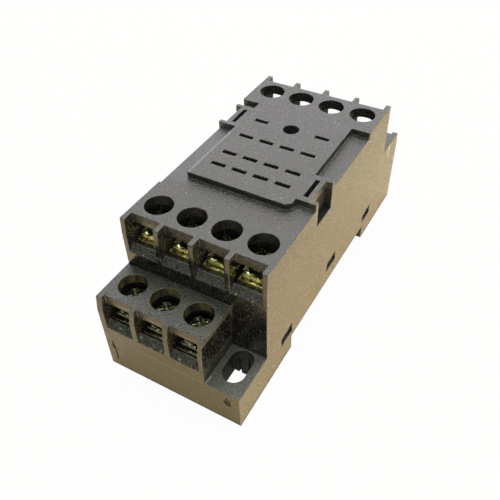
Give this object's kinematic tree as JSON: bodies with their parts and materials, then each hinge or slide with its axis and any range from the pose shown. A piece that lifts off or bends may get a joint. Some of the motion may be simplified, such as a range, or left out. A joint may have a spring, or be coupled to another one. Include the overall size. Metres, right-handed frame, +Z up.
{
  "type": "relay socket",
  "caption": "Stepped relay socket with screw terminals at both ends, slots for the blades of a plug-in relay, a recess with a sliding latch for a rail, and open mounting slots.",
  "frame": {"origin": "middle of the underside", "axes": "+Z up, away from the rail; +Y along the socket, towards the end with the rail latch; +X across it"},
  "size_m": [0.028, 0.072, 0.0296],
  "materials": {
    "housing": "matte",
    "cover": "matte",
    "latch": "matte",
    "contact": "satin",
    "screw": "satin",
    "spring": "satin"
  },
  "bodies": {
    "socket": {"upper_housing": "housing", "base_cover": "cover", "latch_spring": "spring", "contact_01": "contact", "contact_02": "contact", "contact_03": "contact", "contact_04": "contact", "contact_05": "contact", "contact_06": "contact", "contact_07": "contact", "contact_08": "contact", "contact_09": "contact", "contact_10": "contact", "contact_11": "contact", "contact_12": "contact", "contact_13": "contact", "contact_14": "contact"},
    "latch": {"rail_latch": "latch"},
    "clamp_01_body": {"clamp_01": "contact"},
    "terminal_screw_01_body": {"terminal_screw_01": "screw"},
    "clamp_02_body": {"clamp_02": "contact"},
    "terminal_screw_02_body": {"terminal_screw_02": "screw"},
    "clamp_03_body": {"clamp_03": "contact"},
    "terminal_screw_03_body": {"terminal_screw_03": "screw"},
    "clamp_04_body": {"clamp_04": "contact"},
    "terminal_screw_04_body": {"terminal_screw_04": "screw"},
    "clamp_05_body": {"clamp_05": "contact"},
    "terminal_screw_05_body": {"terminal_screw_05": "screw"},
    "clamp_06_body": {"clamp_06": "contact"},
    "terminal_screw_06_body": {"terminal_screw_06": "screw"},
    "clamp_07_body": {"clamp_07": "contact"},
    "terminal_screw_07_body": {"terminal_screw_07": "screw"},
    "clamp_08_body": {"clamp_08": "contact"},
    "terminal_screw_08_body": {"terminal_screw_08": "screw"},
    "clamp_09_body": {"clamp_09": "contact"},
    "terminal_screw_09_body": {"terminal_screw_09": "screw"},
    "clamp_10_body": {"clamp_10": "contact"},
    "terminal_screw_10_body": {"terminal_screw_10": "screw"},
    "clamp_11_body": {"clamp_11": "contact"},
    "terminal_screw_11_body": {"terminal_screw_11": "screw"},
    "clamp_12_body": {"clamp_12": "contact"},
    "terminal_screw_12_body": {"terminal_screw_12": "screw"},
    "clamp_13_body": {"clamp_13": "contact"},
    "terminal_screw_13_body": {"terminal_screw_13": "screw"},
    "clamp_14_body": {"clamp_14": "contact"},
    "terminal_screw_14_body": {"terminal_screw_14": "screw"}
  },
  "joints": [
    {"name": "latch_slide", "type": "slide", "parent": "socket", "child": "latch", "axis": [0, 1, 0], "range_m": [0, 0.002], "stiffness_N_per_m": 400, "springref_m": -0.004, "deforming": ["latch_spring"]},
    {"name": "clamp_01_lift", "type": "slide", "parent": "socket", "child": "clamp_01_body", "axis": [0, 0, 1], "range_m": [0, 0.0015]},
    {"name": "terminal_screw_01_turn", "type": "hinge", "parent": "clamp_01_body", "child": "terminal_screw_01_body", "pos_m": [-0.01013, -0.0205, 0], "axis": [0, 0, 1], "range_deg": [0, 1080]},
    {"name": "clamp_02_lift", "type": "slide", "parent": "socket", "child": "clamp_02_body", "axis": [0, 0, 1], "range_m": [0, 0.0015]},
    {"name": "terminal_screw_02_turn", "type": "hinge", "parent": "clamp_02_body", "child": "terminal_screw_02_body", "pos_m": [-0.00337, -0.0205, 0], "axis": [0, 0, 1], "range_deg": [0, 1080]},
    {"name": "clamp_03_lift", "type": "slide", "parent": "socket", "child": "clamp_03_body", "axis": [0, 0, 1], "range_m": [0, 0.0015]},
    {"name": "terminal_screw_03_turn", "type": "hinge", "parent": "clamp_03_body", "child": "terminal_screw_03_body", "pos_m": [0.00337, -0.0205, 0], "axis": [0, 0, 1], "range_deg": [0, 1080]},
    {"name": "clamp_04_lift", "type": "slide", "parent": "socket", "child": "clamp_04_body", "axis": [0, 0, 1], "range_m": [0, 0.0015]},
    {"name": "terminal_screw_04_turn", "type": "hinge", "parent": "clamp_04_body", "child": "terminal_screw_04_body", "pos_m": [0.01013, -0.0205, 0], "axis": [0, 0, 1], "range_deg": [0, 1080]},
    {"name": "clamp_05_lift", "type": "slide", "parent": "socket", "child": "clamp_05_body", "axis": [0, 0, 1], "range_m": [0, 0.0015]},
    {"name": "terminal_screw_05_turn", "type": "hinge", "parent": "clamp_05_body", "child": "terminal_screw_05_body", "pos_m": [-0.00995, -0.0305, 0], "axis": [0, 0, 1], "range_deg": [0, 1080]},
    {"name": "clamp_06_lift", "type": "slide", "parent": "socket", "child": "clamp_06_body", "axis": [0, 0, 1], "range_m": [0, 0.0015]},
    {"name": "terminal_screw_06_turn", "type": "hinge", "parent": "clamp_06_body", "child": "terminal_screw_06_body", "pos_m": [-0.0032, -0.0305, 0], "axis": [0, 0, 1], "range_deg": [0, 1080]},
    {"name": "clamp_07_lift", "type": "slide", "parent": "socket", "child": "clamp_07_body", "axis": [0, 0, 1], "range_m": [0, 0.0015]},
    {"name": "terminal_screw_07_turn", "type": "hinge", "parent": "clamp_07_body", "child": "terminal_screw_07_body", "pos_m": [0.00355, -0.0305, 0], "axis": [0, 0, 1], "range_deg": [0, 1080]},
    {"name": "clamp_08_lift", "type": "slide", "parent": "socket", "child": "clamp_08_body", "axis": [0, 0, 1], "range_m": [0, 0.0015]},
    {"name": "terminal_screw_08_turn", "type": "hinge", "parent": "clamp_08_body", "child": "terminal_screw_08_body", "pos_m": [-0.01013, 0.0205, 0], "axis": [0, 0, 1], "range_deg": [0, 1080]},
    {"name": "clamp_09_lift", "type": "slide", "parent": "socket", "child": "clamp_09_body", "axis": [0, 0, 1], "range_m": [0, 0.0015]},
    {"name": "terminal_screw_09_turn", "type": "hinge", "parent": "clamp_09_body", "child": "terminal_screw_09_body", "pos_m": [-0.00337, 0.0205, 0], "axis": [0, 0, 1], "range_deg": [0, 1080]},
    {"name": "clamp_10_lift", "type": "slide", "parent": "socket", "child": "clamp_10_body", "axis": [0, 0, 1], "range_m": [0, 0.0015]},
    {"name": "terminal_screw_10_turn", "type": "hinge", "parent": "clamp_10_body", "child": "terminal_screw_10_body", "pos_m": [0.00337, 0.0205, 0], "axis": [0, 0, 1], "range_deg": [0, 1080]},
    {"name": "clamp_11_lift", "type": "slide", "parent": "socket", "child": "clamp_11_body", "axis": [0, 0, 1], "range_m": [0, 0.0015]},
    {"name": "terminal_screw_11_turn", "type": "hinge", "parent": "clamp_11_body", "child": "terminal_screw_11_body", "pos_m": [0.01013, 0.0205, 0], "axis": [0, 0, 1], "range_deg": [0, 1080]},
    {"name": "clamp_12_lift", "type": "slide", "parent": "socket", "child": "clamp_12_body", "axis": [0, 0, 1], "range_m": [0, 0.0015]},
    {"name": "terminal_screw_12_turn", "type": "hinge", "parent": "clamp_12_body", "child": "terminal_screw_12_body", "pos_m": [-0.00355, 0.0305, 0], "axis": [0, 0, 1], "range_deg": [0, 1080]},
    {"name": "clamp_13_lift", "type": "slide", "parent": "socket", "child": "clamp_13_body", "axis": [0, 0, 1], "range_m": [0, 0.0015]},
    {"name": "terminal_screw_13_turn", "type": "hinge", "parent": "clamp_13_body", "child": "terminal_screw_13_body", "pos_m": [0.0032, 0.0305, 0], "axis": [0, 0, 1], "range_deg": [0, 1080]},
    {"name": "clamp_14_lift", "type": "slide", "parent": "socket", "child": "clamp_14_body", "axis": [0, 0, 1], "range_m": [0, 0.0015]},
    {"name": "terminal_screw_14_turn", "type": "hinge", "parent": "clamp_14_body", "child": "terminal_screw_14_body", "pos_m": [0.00995, 0.0305, 0], "axis": [0, 0, 1], "range_deg": [0, 1080]}
  ],
  "couplings": [
    {"joint": "terminal_screw_01_turn", "follows": "clamp_01_lift", "rad_per_m": 12566},
    {"joint": "terminal_screw_02_turn", "follows": "clamp_02_lift", "rad_per_m": 12566},
    {"joint": "terminal_screw_03_turn", "follows": "clamp_03_lift", "rad_per_m": 12566},
    {"joint": "terminal_screw_04_turn", "follows": "clamp_04_lift", "rad_per_m": 12566},
    {"joint": "terminal_screw_05_turn", "follows": "clamp_05_lift", "rad_per_m": 12566},
    {"joint": "terminal_screw_06_turn", "follows": "clamp_06_lift", "rad_per_m": 12566},
    {"joint": "terminal_screw_07_turn", "follows": "clamp_07_lift", "rad_per_m": 12566},
    {"joint": "terminal_screw_08_turn", "follows": "clamp_08_lift", "rad_per_m": 12566},
    {"joint": "terminal_screw_09_turn", "follows": "clamp_09_lift", "rad_per_m": 12566},
    {"joint": "terminal_screw_10_turn", "follows": "clamp_10_lift", "rad_per_m": 12566},
    {"joint": "terminal_screw_11_turn", "follows": "clamp_11_lift", "rad_per_m": 12566},
    {"joint": "terminal_screw_12_turn", "follows": "clamp_12_lift", "rad_per_m": 12566},
    {"joint": "terminal_screw_13_turn", "follows": "clamp_13_lift", "rad_per_m": 12566},
    {"joint": "terminal_screw_14_turn", "follows": "clamp_14_lift", "rad_per_m": 12566}
  ]
}
